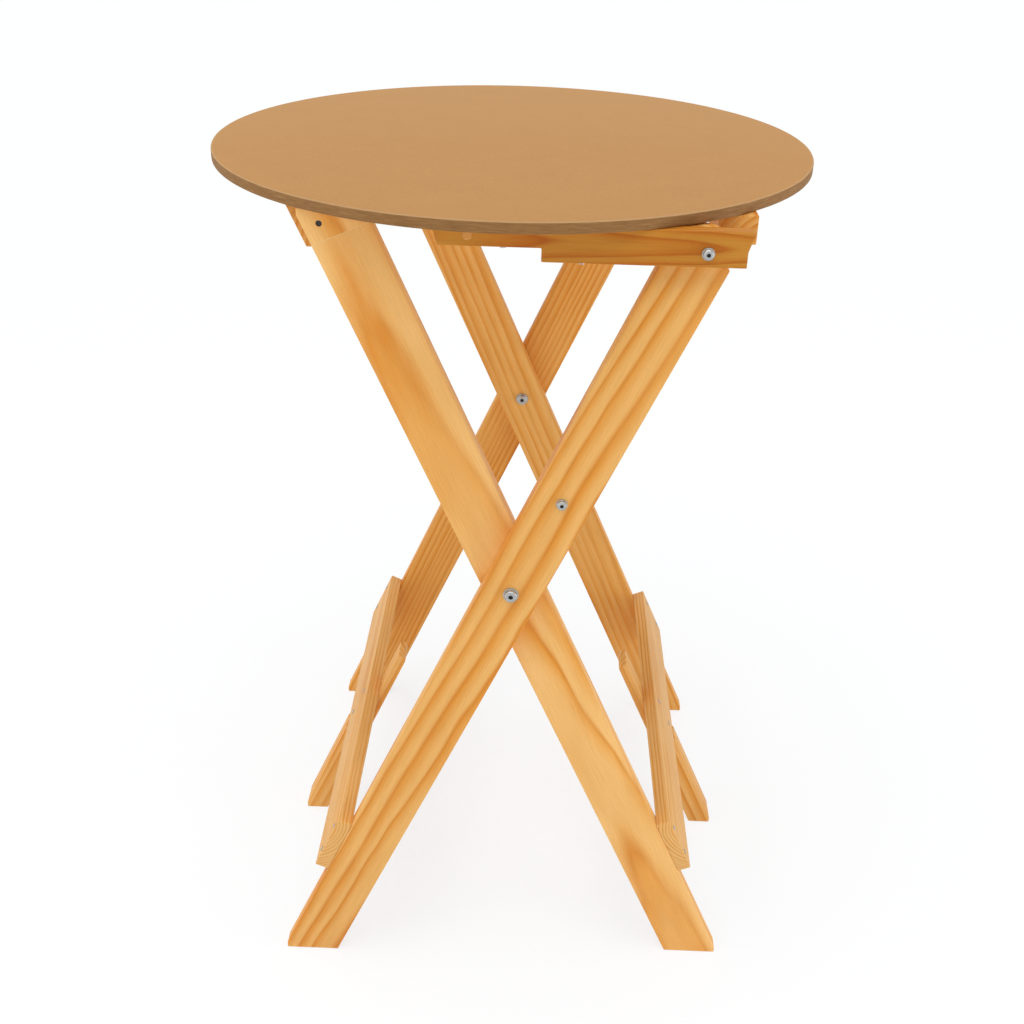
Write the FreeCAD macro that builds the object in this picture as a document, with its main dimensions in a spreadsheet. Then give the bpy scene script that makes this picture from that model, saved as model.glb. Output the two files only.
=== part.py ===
import FreeCAD
import Part
import Sketcher
import math
import os
import re

# Folding bar table: a round board top on two crossed pairs of pine legs.
# X runs to the right, Y to the back and Z up, in millimetres, from the middle of the floor under the top.
# The outer legs lean to the right and carry the top on a hinge; the inner legs lean to the left
# and carry a rung that the top rests on. Both pairs turn about one pivot line along Y.

SIZES = {
    "top_diameter": 700,
    "top_thickness": 12,
    "top_edge_round": 1.5,
    "table_height": 1030,
    "leg_width": 66,
    "leg_thickness": 20,
    "lean_angle": 24,
    "pivot_height": 584,
    "pivot_shift": 17,
    "frame_set_in": 50,
    "leg_gap": 0.6,
    "hinge_depth": 22,
    "hinge_clear": 1.5,
    "head_shoulder": 10,
    "corner_trim": 3.5,
    "cleat_thickness": 18,
    "cleat_height": 36,
    "cleat_strip": 22,
    "hinge_end": 45,
    "cleat_step": 38,
    "cleat_left": 71,
    "cleat_slant": 7,
    "cleat_nose": 6,
    "cleat_nose_height": 20,
    "cleat_screw_inset": 40,
    "batten_width": 40,
    "batten_height": 30,
    "batten_overhang": 11,
    "batten_gap": 2,
    "batten_screw_inset": 60,
    "catch_width": 20,
    "catch_height": 14,
    "catch_length": 180,
    "catch_gap": 0.5,
    "catch_screw_inset": 30,
    "rung_height": 46,
    "rung_width": 46,
    "rung_overhang": 11,
    "rung_screw_depth": 15.5,
    "stretcher_height": 85,
    "stretcher_thickness": 18,
    "stretcher_drop": 450,
    "foot_thickness": 13,
    "foot_proud": 1,
    "foot_width": 40,
    "foot_rise": 75,
    "foot_chamfer": 5,
    "bolt_diameter": 8,
    "bolt_head_diameter": 15,
    "bolt_head_height": 5,
    "bolt_socket": 6,
    "bolt_washer_diameter": 18,
    "nut_width": 15,
    "nut_height": 6.5,
    "thread_end": 2,
    "pin_diameter": 6,
    "pin_head_diameter": 11,
    "pin_head_height": 4,
    "pin_socket": 4.5,
    "pin_washer_diameter": 13,
    "washer_thickness": 1.5,
    "socket_depth": 2.5,
    "insert_diameter": 10,
    "insert_length": 12,
    "insert_floor": 2,
    "stay_distance": 131,
    "nail_diameter": 3,
    "nail_length": 28,
    "nail_head_diameter": 6,
    "nail_head_height": 1,
    "nail_spacing": 44,
    "screw_diameter": 4,
    "screw_head_diameter": 6.5,
    "screw_head_height": 2.5,
    "screw_sink": 1.5,
    "screw_bite": 8,
    "rung_screw_bite": 30,
    "dowel_diameter": 10,
    "dowel_inset": 36,
    "dowel_proud": 0.5,
    "running_clearance": 0.08,
    "fit_clearance": 0.05,
    "seat_gap": 0.3,
}

# Heights and reaches worked out from the sizes
UNDERSIDE = "(table_height - top_thickness)"
HINGE_Z = f"({UNDERSIDE} - hinge_depth)"
HINGE_X = f"(pivot_shift + ({HINGE_Z} - pivot_height) * tan(lean_angle))"
HINGE_REACH = f"(({HINGE_Z} - pivot_height) / cos(lean_angle))"
STAY_X = "(pivot_shift + stay_distance * sin(lean_angle))"
STAY_Z = "(pivot_height + stay_distance * cos(lean_angle))"
FOOT_TOP = "(foot_rise + stretcher_height / 2 - stretcher_drop)"

# Depths of the faces, from the middle outwards
INNER_BACK = "(top_diameter / 2 - frame_set_in - 2 * leg_thickness - leg_gap)"
INNER_FACE = "(top_diameter / 2 - frame_set_in - leg_thickness - leg_gap)"
OUTER_BACK = "(top_diameter / 2 - frame_set_in - leg_thickness)"
OUTER_FACE = "(top_diameter / 2 - frame_set_in)"
CLEAT_BACK = "(top_diameter / 2 - frame_set_in + leg_gap)"
CLEAT_FACE = "(top_diameter / 2 - frame_set_in + leg_gap + cleat_thickness)"
CLEAT_MIDDLE = "(top_diameter / 2 - frame_set_in + leg_gap + cleat_thickness / 2)"

OUTER = 1
INNER = -1
X_AXIS = FreeCAD.Vector(1, 0, 0)
Y_AXIS = FreeCAD.Vector(0, 1, 0)

doc = FreeCAD.newDocument("FoldingBarTable")
sheet = doc.addObject("Spreadsheet::Sheet", "Sizes")
for row, (alias, value) in enumerate(SIZES.items(), 1):
    sheet.set(f"A{row}", alias)
    sheet.set(f"B{row}", str(value))
    sheet.setAlias(f"B{row}", alias)
doc.recompute()

ALIASES = re.compile(r"\b(" + "|".join(SIZES) + r")\b")
nodes = []


def bind(thing, **sizes):
    """Ties properties of an object to formulas in the sheet's sizes."""
    for name, formula in sizes.items():
        thing.setExpression(name, ALIASES.sub(r"Sizes.\1", formula))


def bind_place(thing, x, y, z):
    """Ties an object's position to three formulas."""
    for axis, formula in zip("xyz", (x, y, z)):
        thing.setExpression(f"Placement.Base.{axis}", ALIASES.sub(r"Sizes.\1", formula))


def turn(thing, axis, angle):
    """Turns an object about an axis through its own origin, by a formula in degrees."""
    thing.Placement.Rotation = FreeCAD.Rotation(axis, 1)
    thing.setExpression("Placement.Rotation.Angle", ALIASES.sub(r"Sizes.\1", angle))


def along_depth(thing, x, y, z, backwards=1):
    """Lays an object made along Z along the depth instead, heading to the back (1) or to the front (-1)."""
    turn(thing, X_AXIS * -backwards, "90")
    bind_place(thing, x, y, z)


def leaning(thing, side, across, depth, along):
    """Stands a body in a leg frame: across to the leg's inside, and along the leg from the pivot."""
    turn(thing, Y_AXIS * side, "lean_angle")
    x = f"pivot_shift + {side} * (({across}) * cos(lean_angle) + ({along}) * sin(lean_angle))"
    z = f"pivot_height - ({across}) * sin(lean_angle) + ({along}) * cos(lean_angle)"
    bind_place(thing, x, depth, z)


def new_body(label):
    body = doc.addObject("PartDesign::Body", label)
    body.Label = label
    nodes.append(body)
    return body


def sketch_on(body, role, name):
    """Makes an empty sketch on one of the body's own origin planes."""
    sketch = body.newObject("Sketcher::SketchObject", f"{body.Name}_{name}")
    plane = next(item for item in body.Origin.OriginFeatures if item.Role == role)
    sketch.AttachmentSupport = [(plane, "")]
    sketch.MapMode = "FlatFace"
    return sketch


def fix_point(sketch, geometry, point, across, up):
    """Ties a sketch point to two formulas measured from the sketch's origin."""
    for kind, formula in (("DistanceX", across), ("DistanceY", up)):
        index = sketch.addConstraint(Sketcher.Constraint(kind, geometry, point, 1.0))
        bind(sketch, **{f"Constraints[{index}]": formula})


def draw_polygon(sketch, points):
    """Draws a closed outline whose corners are pairs of formulas."""
    count = len(points)
    angles = [2 * math.pi * index / count for index in range(count)]
    start = [FreeCAD.Vector(math.cos(angle), math.sin(angle), 0) for angle in angles]
    first = sketch.GeometryCount
    for index in range(count):
        sketch.addGeometry(Part.LineSegment(start[index], start[(index + 1) % count]), False)
    for index in range(count):
        following = first + (index + 1) % count
        sketch.addConstraint(Sketcher.Constraint("Coincident", first + index, 2, following, 1))
    for index, (across, up) in enumerate(points):
        fix_point(sketch, first + index, 1, across, up)


def draw_circle(sketch, across, up, radius):
    """Draws a circle whose middle and radius are formulas."""
    index = sketch.addGeometry(Part.Circle(FreeCAD.Vector(1, 1, 0), FreeCAD.Vector(0, 0, 1), 1), False)
    fix_point(sketch, index, 3, across, up)
    limit = sketch.addConstraint(Sketcher.Constraint("Radius", index, 1.0))
    bind(sketch, **{f"Constraints[{limit}]": radius})


def pad(body, sketch, length):
    """Pads a sketch along its normal."""
    feature = body.newObject("PartDesign::Pad", f"{sketch.Name}_pad")
    feature.Profile = sketch
    bind(feature, Length=length)
    doc.recompute()
    return feature


def drill_through(body, holes):
    """Cuts round holes right through a board along its depth; each hole is across, up and radius."""
    sketch = sketch_on(body, "XZ_Plane", "holes")
    for across, up, radius in holes:
        draw_circle(sketch, across, up, radius)
    before = body.Shape.Volume
    feature = body.newObject("PartDesign::Pocket", f"{body.Name}_drilled")
    feature.Profile = sketch
    feature.Type = "ThroughAll"
    feature.Midplane = True
    doc.recompute()
    if body.Shape.Volume >= before:
        raise RuntimeError(f"{body.Label}: the through holes cut nothing")


def bore(body, name, radius, length, axis, angle, x, y, z):
    """Cuts one blind round hole, placed in the body's own frame."""
    before = body.Shape.Volume
    feature = body.newObject("PartDesign::SubtractiveCylinder", f"{body.Name}_{name}")
    bind(feature, Radius=radius, Height=length)
    turn(feature, axis, angle)
    bind_place(feature, x, y, z)
    doc.recompute()
    if body.Shape.Volume >= before:
        raise RuntimeError(f"{body.Label}: the hole {name} cuts nothing")


def floor_at(across):
    """Where the floor meets a leaning board, along the leg from the pivot."""
    return f"(({across}) * tan(lean_angle) - pivot_height / cos(lean_angle))"


def level_at(across, height):
    """Where a level at this height meets a leaning board, along the leg from the pivot."""
    return f"(({across}) * tan(lean_angle) + ({height} - pivot_height) / cos(lean_angle))"


def foot_corners(outside, inside):
    """Outline of a level foot whose sharp outer corner is trimmed upright."""
    trimmed = f"({outside} + corner_trim * cos(lean_angle))"
    return [
        (outside, f"{floor_at(outside)} + corner_trim / sin(lean_angle)"),
        (trimmed, floor_at(trimmed)),
        (inside, floor_at(inside)),
    ]


def mirrored(points, side):
    """Outline points with the across direction turned to suit the side that the frame leans to."""
    return [(f"{side} * ({across})", up) for across, up in points]


def cylinder(name, radius, height, lift="0"):
    solid = doc.addObject("Part::Cylinder", name)
    bind(solid, Radius=radius, Height=height)
    bind_place(solid, "0", "0", lift)
    return solid


def cut(name, base, tool):
    result = doc.addObject("Part::Cut", name)
    result.Base = base
    result.Tool = tool
    return result


def keep(solid, label):
    """Marks an object as one finished piece."""
    solid.Label = label
    nodes.append(solid)
    return solid


def headed(label, radius, length, head_radius, head_height, socket=None):
    """A nail, screw or bolt along Z: the shank starts at zero and the head lies below it."""
    shank = cylinder(f"{label}_shank", radius, length)
    head = cylinder(f"{label}_head", head_radius, head_height, f"-({head_height})")
    whole = doc.addObject("Part::Fuse", f"{label}_blank" if socket else label)
    whole.Base = shank
    whole.Tool = head
    if socket:
        key = doc.addObject("Part::Prism", f"{label}_key")
        bind(key, Circumradius=f"{socket} / 2", Height="socket_depth")
        bind_place(key, "0", "0", f"-({head_height})")
        whole = cut(label, whole, key)
    return keep(whole, label)


def ring(label, outer_radius, inner_radius, thickness):
    """A washer or a threaded insert along Z from zero."""
    disc = cylinder(f"{label}_disc", outer_radius, thickness)
    hole = cylinder(f"{label}_hole", inner_radius, thickness)
    return keep(cut(label, disc, hole), label)


def hex_nut(label):
    """A six-sided nut along Z from zero."""
    block = doc.addObject("Part::Prism", f"{label}_block")
    bind(block, Circumradius="nut_width / 2", Height="nut_height")
    hole = cylinder(f"{label}_hole", "bolt_diameter / 2 + fit_clearance", "nut_height")
    return keep(cut(label, block, hole), label)


# Table top: a round board with softened edges
table_top = new_body("table_top")
disc_sketch = sketch_on(table_top, "XY_Plane", "disc")
draw_circle(disc_sketch, "0", "0", "top_diameter / 2")
disc_pad = pad(table_top, disc_sketch, "top_thickness")
rim = table_top.newObject("PartDesign::Fillet", "table_top_rim")
rim.Base = (disc_pad, [f"Edge{index}" for index, edge in enumerate(disc_pad.Shape.Edges, 1) if edge.Closed])
bind(rim, Radius="top_edge_round")
bind_place(table_top, "0", "0", UNDERSIDE)
doc.recompute()


def underside_screw(label, x, y, bottom):
    """A screw from below through a piece and into the top, with its hole in the top."""
    screw = headed(
        label, "screw_diameter / 2", f"{UNDERSIDE} - ({bottom}) + screw_bite",
        "screw_head_diameter / 2", "screw_head_height",
    )
    bind_place(screw, x, y, bottom)
    hole_depth = "screw_bite + seat_gap"
    bore(table_top, label, "screw_diameter / 2 + fit_clearance", hole_depth, X_AXIS, "0", x, y, "0")


# Front and rear cleats: stepped boards outside the outer legs, which turn on the hinge bolts
CLEAT_BOTTOM = f"({UNDERSIDE} - cleat_height)"
CLEAT_RIGHT = f"({HINGE_X} + hinge_end)"
STRIP_BOTTOM = f"({UNDERSIDE} - cleat_strip)"
CLEAT_OUTLINE = [
    ("-cleat_left", UNDERSIDE),
    (CLEAT_RIGHT, UNDERSIDE),
    (f"{CLEAT_RIGHT} - cleat_nose", f"{UNDERSIDE} - cleat_nose_height"),
    (f"{CLEAT_RIGHT} - cleat_nose", CLEAT_BOTTOM),
    ("cleat_step", CLEAT_BOTTOM),
    ("cleat_step", STRIP_BOTTOM),
    ("cleat_slant - cleat_left", STRIP_BOTTOM),
]
DOWEL_X = "(dowel_inset - cleat_left)"
DOWEL_Z = f"({UNDERSIDE} - cleat_strip / 2)"
CLEAT_SCREWS = {
    "left": ("0", STRIP_BOTTOM, "cleat_strip"),
    "right": ("cleat_step + cleat_screw_inset", CLEAT_BOTTOM, "cleat_height"),
}

for end, side, far_face in (("front", -1, f"-{CLEAT_BACK}"), ("rear", 1, CLEAT_FACE)):
    cleat = new_body(f"{end}_cleat")
    outline = sketch_on(cleat, "XZ_Plane", "outline")
    draw_polygon(outline, CLEAT_OUTLINE)
    pad(cleat, outline, "cleat_thickness")
    drill_through(cleat, [
        (HINGE_X, HINGE_Z, "pin_diameter / 2 + running_clearance"),
        (DOWEL_X, DOWEL_Z, "dowel_diameter / 2 + fit_clearance"),
    ])
    bind_place(cleat, "0", far_face, "0")
    for place, (x, bottom, height) in CLEAT_SCREWS.items():
        bore(
            cleat, f"{place}_screw", "screw_diameter / 2 + fit_clearance", height,
            X_AXIS, "0", x, "-cleat_thickness / 2", bottom,
        )
        underside_screw(f"{end}_cleat_screw_{place}", x, f"{side} * {CLEAT_MIDDLE}", bottom)
    dowel = keep(cylinder(f"{end}_cleat_dowel", "dowel_diameter / 2", "cleat_thickness + dowel_proud"),
                 f"{end}_cleat_dowel")
    along_depth(dowel, DOWEL_X, f"{side} * {CLEAT_BACK}", DOWEL_Z, side)

# Right batten: stiffens the top between the inner faces of the legs, beyond the hinge
BATTEN_RIGHT = f"({CLEAT_RIGHT} + batten_overhang)"
BATTEN_HALF = f"({INNER_BACK} - batten_gap)"
BATTEN_BOTTOM = f"({UNDERSIDE} - batten_height)"
BATTEN_MIDDLE = f"({BATTEN_RIGHT} - batten_width / 2)"
BATTEN_SCREWS = {
    "front": f"batten_screw_inset - {BATTEN_HALF}",
    "middle": "0",
    "rear": f"{BATTEN_HALF} - batten_screw_inset",
}


def screwed_block(label, left, right, near, far, bottom, height, screws):
    """A block under the top with a row of screws up through it; screws are places along the depth."""
    block = new_body(label)
    sketch = sketch_on(block, "XY_Plane", "outline")
    draw_polygon(sketch, [(left, near), (right, near), (right, far), (left, far)])
    middle = f"(({left}) + ({right})) / 2"
    for y in screws.values():
        draw_circle(sketch, middle, y, "screw_diameter / 2 + fit_clearance")
    pad(block, sketch, height)
    bind_place(block, "0", "0", bottom)
    for place, y in screws.items():
        underside_screw(f"{label}_screw_{place}", middle, y, bottom)


screwed_block(
    "right_batten", f"{BATTEN_RIGHT} - batten_width", BATTEN_RIGHT, f"-{BATTEN_HALF}", BATTEN_HALF,
    BATTEN_BOTTOM, "batten_height", BATTEN_SCREWS,
)

# Catch block: keeps the rung from sliding out to the left
RUNG_OUTSIDE = "(leg_width / 2 + rung_overhang)"
RUNG_INSIDE = f"({RUNG_OUTSIDE} - rung_width)"
RUNG_LEFT = f"(({UNDERSIDE} - pivot_height) * tan(lean_angle) + {RUNG_OUTSIDE} / cos(lean_angle))"
CATCH_SCREWS = {
    "front": "catch_screw_inset - catch_length / 2",
    "rear": "catch_length / 2 - catch_screw_inset",
}
CATCH_RIGHT = f"pivot_shift - {RUNG_LEFT} - catch_gap"
screwed_block(
    "catch_block", f"{CATCH_RIGHT} - catch_width", CATCH_RIGHT, "-catch_length / 2", "catch_length / 2",
    f"({UNDERSIDE} - catch_height)", "catch_height", CATCH_SCREWS,
)

# Legs: outer ones step in to a round head about the hinge, inner ones are cut level under the top
OUTER_EDGE = "-leg_width / 2"
INSIDE_EDGE = "leg_width / 2"
HEAD = "(hinge_depth - hinge_clear)"
PIVOT_FIT = "bolt_diameter / 2 + fit_clearance"
PIVOT_TURNING = "bolt_diameter / 2 + running_clearance"
PIN_FIT = "pin_diameter / 2 + fit_clearance"
RUNG_SCREW_ACROSS = "(leg_width / 2 + (rung_overhang - rung_width) / 2)"
RUNG_SCREW_ALONG = level_at(RUNG_SCREW_ACROSS, f"({UNDERSIDE} - rung_screw_depth)")
NAIL_ROWS = {"upper": "nail_spacing / 2 - stretcher_drop", "lower": "-nail_spacing / 2 - stretcher_drop"}


def nail_holes(body, side, edge, depth):
    """Blind holes in a board's outer edge for the nails of the stretcher."""
    for place, along in NAIL_ROWS.items():
        bore(
            body, f"{place}_nail", "nail_diameter / 2 + fit_clearance",
            "nail_length - stretcher_thickness + seat_gap",
            Y_AXIS * side, "90", f"{side} * ({edge})", depth, along,
        )


def outer_leg(label, far_face, insert_start, extra_pins):
    """A leg of the frame that carries the top, with sunk inserts on its inner face."""
    leg = new_body(label)
    outline = sketch_on(leg, "XZ_Plane", "outline")
    corners = foot_corners(OUTER_EDGE, INSIDE_EDGE)
    corners += [
        (INSIDE_EDGE, f"{HINGE_REACH} - head_shoulder"),
        (HEAD, f"{HINGE_REACH} - head_shoulder"),
        (HEAD, HINGE_REACH),
        (f"-{HEAD} * sin(lean_angle)", f"{HINGE_REACH} + {HEAD} * cos(lean_angle)"),
        (OUTER_EDGE, level_at(OUTER_EDGE, f"({UNDERSIDE} - hinge_clear)")),
    ]
    draw_polygon(outline, corners)
    pad(leg, outline, "leg_thickness")
    head = sketch_on(leg, "XZ_Plane", "head")
    draw_circle(head, "0", HINGE_REACH, HEAD)
    pad(leg, head, "leg_thickness")
    pins = {"hinge": HINGE_REACH, **extra_pins}
    drill_through(leg, [("0", "0", PIVOT_FIT)] + [("0", along, PIN_FIT) for along in pins.values()])
    for name, along in pins.items():
        bore(
            leg, f"{name}_insert", "insert_diameter / 2 + fit_clearance", "insert_length",
            -X_AXIS, "90", "0", insert_start, along,
        )
    nail_holes(leg, OUTER, OUTER_EDGE, "-leg_thickness / 2")
    leaning(leg, OUTER, "0", far_face, "0")


def inner_leg(label, far_face, screw_start):
    """A leg of the frame that carries the rung, with the rung screw's head sunk in its outer face."""
    leg = new_body(label)
    outline = sketch_on(leg, "XZ_Plane", "outline")
    trimmed = f"({INSIDE_EDGE} - corner_trim * cos(lean_angle))"
    corners = foot_corners(OUTER_EDGE, INSIDE_EDGE)
    corners += [
        (INSIDE_EDGE, f"{level_at(INSIDE_EDGE, UNDERSIDE)} - corner_trim / sin(lean_angle)"),
        (trimmed, level_at(trimmed, UNDERSIDE)),
        (OUTER_EDGE, level_at(OUTER_EDGE, UNDERSIDE)),
    ]
    draw_polygon(outline, mirrored(corners, INNER))
    pad(leg, outline, "leg_thickness")
    screw_across = f"-{RUNG_SCREW_ACROSS}"
    screw_fit = "screw_diameter / 2 + fit_clearance"
    drill_through(leg, [("0", "0", PIVOT_TURNING), (screw_across, RUNG_SCREW_ALONG, screw_fit)])
    bore(
        leg, "screw_head", "screw_head_diameter / 2 + fit_clearance", "screw_head_height + screw_sink",
        -X_AXIS, "90", screw_across, screw_start, RUNG_SCREW_ALONG,
    )
    nail_holes(leg, INNER, OUTER_EDGE, "-leg_thickness / 2")
    leaning(leg, INNER, "0", far_face, "0")


outer_leg("front_outer_leg", f"-{OUTER_BACK}", "-insert_length", {"stay": "stay_distance"})
outer_leg("rear_outer_leg", OUTER_FACE, "-leg_thickness", {})
inner_leg("front_inner_leg", f"-{INNER_BACK}", "-leg_thickness")
inner_leg("rear_inner_leg", INNER_FACE, "-screw_head_height - screw_sink")

# Rung: joins the tops of the inner legs and carries the top
rung = new_body("top_rung")
rung_outline = sketch_on(rung, "XZ_Plane", "outline")
RUNG_BOTTOM = f"({UNDERSIDE} - rung_height)"
draw_polygon(rung_outline, mirrored([
    (RUNG_OUTSIDE, level_at(RUNG_OUTSIDE, UNDERSIDE)),
    (RUNG_INSIDE, level_at(RUNG_INSIDE, UNDERSIDE)),
    (RUNG_INSIDE, level_at(RUNG_INSIDE, RUNG_BOTTOM)),
    (RUNG_OUTSIDE, level_at(RUNG_OUTSIDE, RUNG_BOTTOM)),
], INNER))
pad(rung, rung_outline, f"2 * {INNER_BACK}")
for end, start in (("front", f"-2 * {INNER_BACK}"), ("rear", "-rung_screw_bite - seat_gap")):
    bore(
        rung, f"{end}_screw", "screw_diameter / 2 + fit_clearance", "rung_screw_bite + seat_gap",
        -X_AXIS, "90", f"-{RUNG_SCREW_ACROSS}", start, RUNG_SCREW_ALONG,
    )
leaning(rung, INNER, "0", INNER_BACK, "0")

for end, heading in (("front", 1), ("rear", -1)):
    screw = headed(
        f"{end}_rung_screw", "screw_diameter / 2",
        "leg_thickness - screw_head_height - screw_sink + rung_screw_bite",
        "screw_head_diameter / 2", "screw_head_height",
    )
    x = f"pivot_shift - ({RUNG_SCREW_ACROSS} * cos(lean_angle) + {RUNG_SCREW_ALONG} * sin(lean_angle))"
    z = f"pivot_height - {RUNG_SCREW_ACROSS} * sin(lean_angle) + {RUNG_SCREW_ALONG} * cos(lean_angle)"
    y = f"{heading} * (screw_head_height + screw_sink - {INNER_FACE})"
    along_depth(screw, x, y, z, heading)

# Stretchers on the legs' outer edges, and the short feet at mid depth whose rebate they sit in
FOOT_OUTSIDE = "(-leg_width / 2 - stretcher_thickness - foot_proud)"
FOOT_SHOULDER = "(-stretcher_height / 2 - stretcher_drop - seat_gap)"
for name, side, half_length in (("left", OUTER, OUTER_FACE), ("right", INNER, INNER_FACE)):
    nail_depths = {
        "front": f"leg_thickness / 2 - {half_length}",
        "middle": "0",
        "rear": f"{half_length} - leg_thickness / 2",
    }
    stretcher = new_body(f"{name}_stretcher")
    outline = sketch_on(stretcher, "YZ_Plane", "outline")
    top_edge = "stretcher_height / 2 - stretcher_drop"
    bottom_edge = "-stretcher_height / 2 - stretcher_drop"
    draw_polygon(outline, [
        (f"-{half_length}", bottom_edge),
        (half_length, bottom_edge),
        (half_length, top_edge),
        (f"-{half_length}", top_edge),
    ])
    for depth in nail_depths.values():
        for along in NAIL_ROWS.values():
            draw_circle(outline, depth, along, "nail_diameter / 2 + fit_clearance")
    board = pad(stretcher, outline, "stretcher_thickness")
    board.Reversed = side == OUTER
    turn(stretcher, Y_AXIS * side, "lean_angle")
    edge_x = f"pivot_shift + {-side} * leg_width / 2 * cos(lean_angle)"
    bind_place(stretcher, edge_x, "0", "pivot_height + leg_width / 2 * sin(lean_angle)")

    foot = new_body(f"{name}_mid_foot")
    outline = sketch_on(foot, "XZ_Plane", "outline")
    foot_inside = "(foot_thickness - leg_width / 2)"
    corners = foot_corners(FOOT_OUTSIDE, foot_inside)
    corners += [
        (foot_inside, f"{FOOT_TOP} - foot_chamfer"),
        (f"{foot_inside} - foot_chamfer", FOOT_TOP),
        (OUTER_EDGE, FOOT_TOP),
        (OUTER_EDGE, FOOT_SHOULDER),
        (FOOT_OUTSIDE, FOOT_SHOULDER),
    ]
    draw_polygon(outline, mirrored(corners, side))
    pad(foot, outline, "foot_width")
    nail_holes(foot, side, OUTER_EDGE, "-foot_width / 2")
    leaning(foot, side, "0", "foot_width / 2", "0")

    for place, depth in nail_depths.items():
        for row, along in NAIL_ROWS.items():
            nail = headed(
                f"{name}_nail_{place}_{row}", "nail_diameter / 2", "nail_length",
                "nail_head_diameter / 2", "nail_head_height",
            )
            leaning(nail, side, "-leg_width / 2 - stretcher_thickness", depth, along)
            turn(nail, Y_AXIS * side, "90 + lean_angle")

# Pivot bolts: tight in the outer legs, turning in the inner ones, heads to the front
BOLT_LENGTH = "(2 * washer_thickness + 2 * leg_thickness + leg_gap + seat_gap + nut_height + thread_end)"
PIVOT_STACKS = {
    "front": (f"(-{OUTER_FACE} - washer_thickness)", f"(seat_gap - {INNER_BACK})"),
    "rear": (f"({INNER_BACK} - seat_gap - washer_thickness)", OUTER_FACE),
}
for end, (head_side, nut_side) in PIVOT_STACKS.items():
    bolt = headed(
        f"{end}_pivot_bolt", "bolt_diameter / 2", BOLT_LENGTH,
        "bolt_head_diameter / 2", "bolt_head_height", "bolt_socket",
    )
    along_depth(bolt, "pivot_shift", head_side, "pivot_height")
    for place, start in (("head", head_side), ("nut", nut_side)):
        washer = ring(
            f"{end}_pivot_{place}_washer", "bolt_washer_diameter / 2",
            "bolt_diameter / 2 + fit_clearance", "washer_thickness",
        )
        along_depth(washer, "pivot_shift", start, "pivot_height")
    along_depth(hex_nut(f"{end}_pivot_nut"), "pivot_shift", f"{nut_side} + washer_thickness", "pivot_height")


def pin_bolt(name, x, z, heading, seat, grip):
    """A small bolt with its washer, screwed into an insert that is sunk in a leg's inner face."""
    bolt = headed(
        f"{name}_bolt", "pin_diameter / 2", f"washer_thickness + {grip} - insert_floor",
        "pin_head_diameter / 2", "pin_head_height", "pin_socket",
    )
    start = f"{heading} * (-({seat}) - washer_thickness)"
    along_depth(bolt, x, start, z, heading)
    washer = ring(
        f"{name}_washer", "pin_washer_diameter / 2", "pin_diameter / 2 + fit_clearance", "washer_thickness",
    )
    along_depth(washer, x, start, z, heading)
    insert = ring(
        f"{name}_insert", "insert_diameter / 2", "pin_diameter / 2 + fit_clearance", "insert_length",
    )
    along_depth(insert, x, f"{heading} * (-{OUTER_BACK} - insert_length)", z, heading)


HINGE_GRIP = "seat_gap + cleat_thickness + leg_gap + leg_thickness"
pin_bolt("front_hinge", HINGE_X, HINGE_Z, 1, f"{CLEAT_FACE} + seat_gap", HINGE_GRIP)
pin_bolt("rear_hinge", HINGE_X, HINGE_Z, -1, f"{CLEAT_FACE} + seat_gap", HINGE_GRIP)
pin_bolt("stay", STAY_X, STAY_Z, 1, OUTER_FACE, "leg_thickness")

doc.recompute()
for item in doc.Objects:
    if "Invalid" in item.State or "Error" in item.State:
        raise RuntimeError(f"{item.Name} failed: {item.State}")
os.makedirs("parts", exist_ok=True)
for node in nodes:
    shape = node.Shape
    if shape.isNull() or not shape.isValid() or len(shape.Solids) != 1:
        raise RuntimeError(f"{node.Label} is not one valid solid")
for node in nodes:
    node.Shape.exportStep(f"parts/{node.Label}.step")
print(len(nodes), "pieces")
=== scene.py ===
import math

import bmesh
import bpy
from mathutils import Matrix, Vector


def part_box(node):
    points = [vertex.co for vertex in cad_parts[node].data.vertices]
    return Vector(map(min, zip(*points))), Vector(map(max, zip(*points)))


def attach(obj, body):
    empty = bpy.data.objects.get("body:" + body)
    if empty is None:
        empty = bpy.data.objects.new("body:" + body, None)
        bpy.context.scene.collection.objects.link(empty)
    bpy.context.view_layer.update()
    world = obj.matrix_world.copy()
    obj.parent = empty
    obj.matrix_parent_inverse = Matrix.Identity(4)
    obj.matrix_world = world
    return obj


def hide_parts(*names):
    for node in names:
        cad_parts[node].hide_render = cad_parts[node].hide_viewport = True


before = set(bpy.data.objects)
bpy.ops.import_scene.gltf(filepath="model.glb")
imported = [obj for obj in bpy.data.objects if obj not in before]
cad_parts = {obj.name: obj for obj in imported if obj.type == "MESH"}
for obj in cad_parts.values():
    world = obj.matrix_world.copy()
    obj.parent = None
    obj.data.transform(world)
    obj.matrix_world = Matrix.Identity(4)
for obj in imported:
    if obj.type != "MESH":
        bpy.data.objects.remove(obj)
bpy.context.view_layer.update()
scene = bpy.context.scene
scene.view_settings.view_transform = "Standard"

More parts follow.
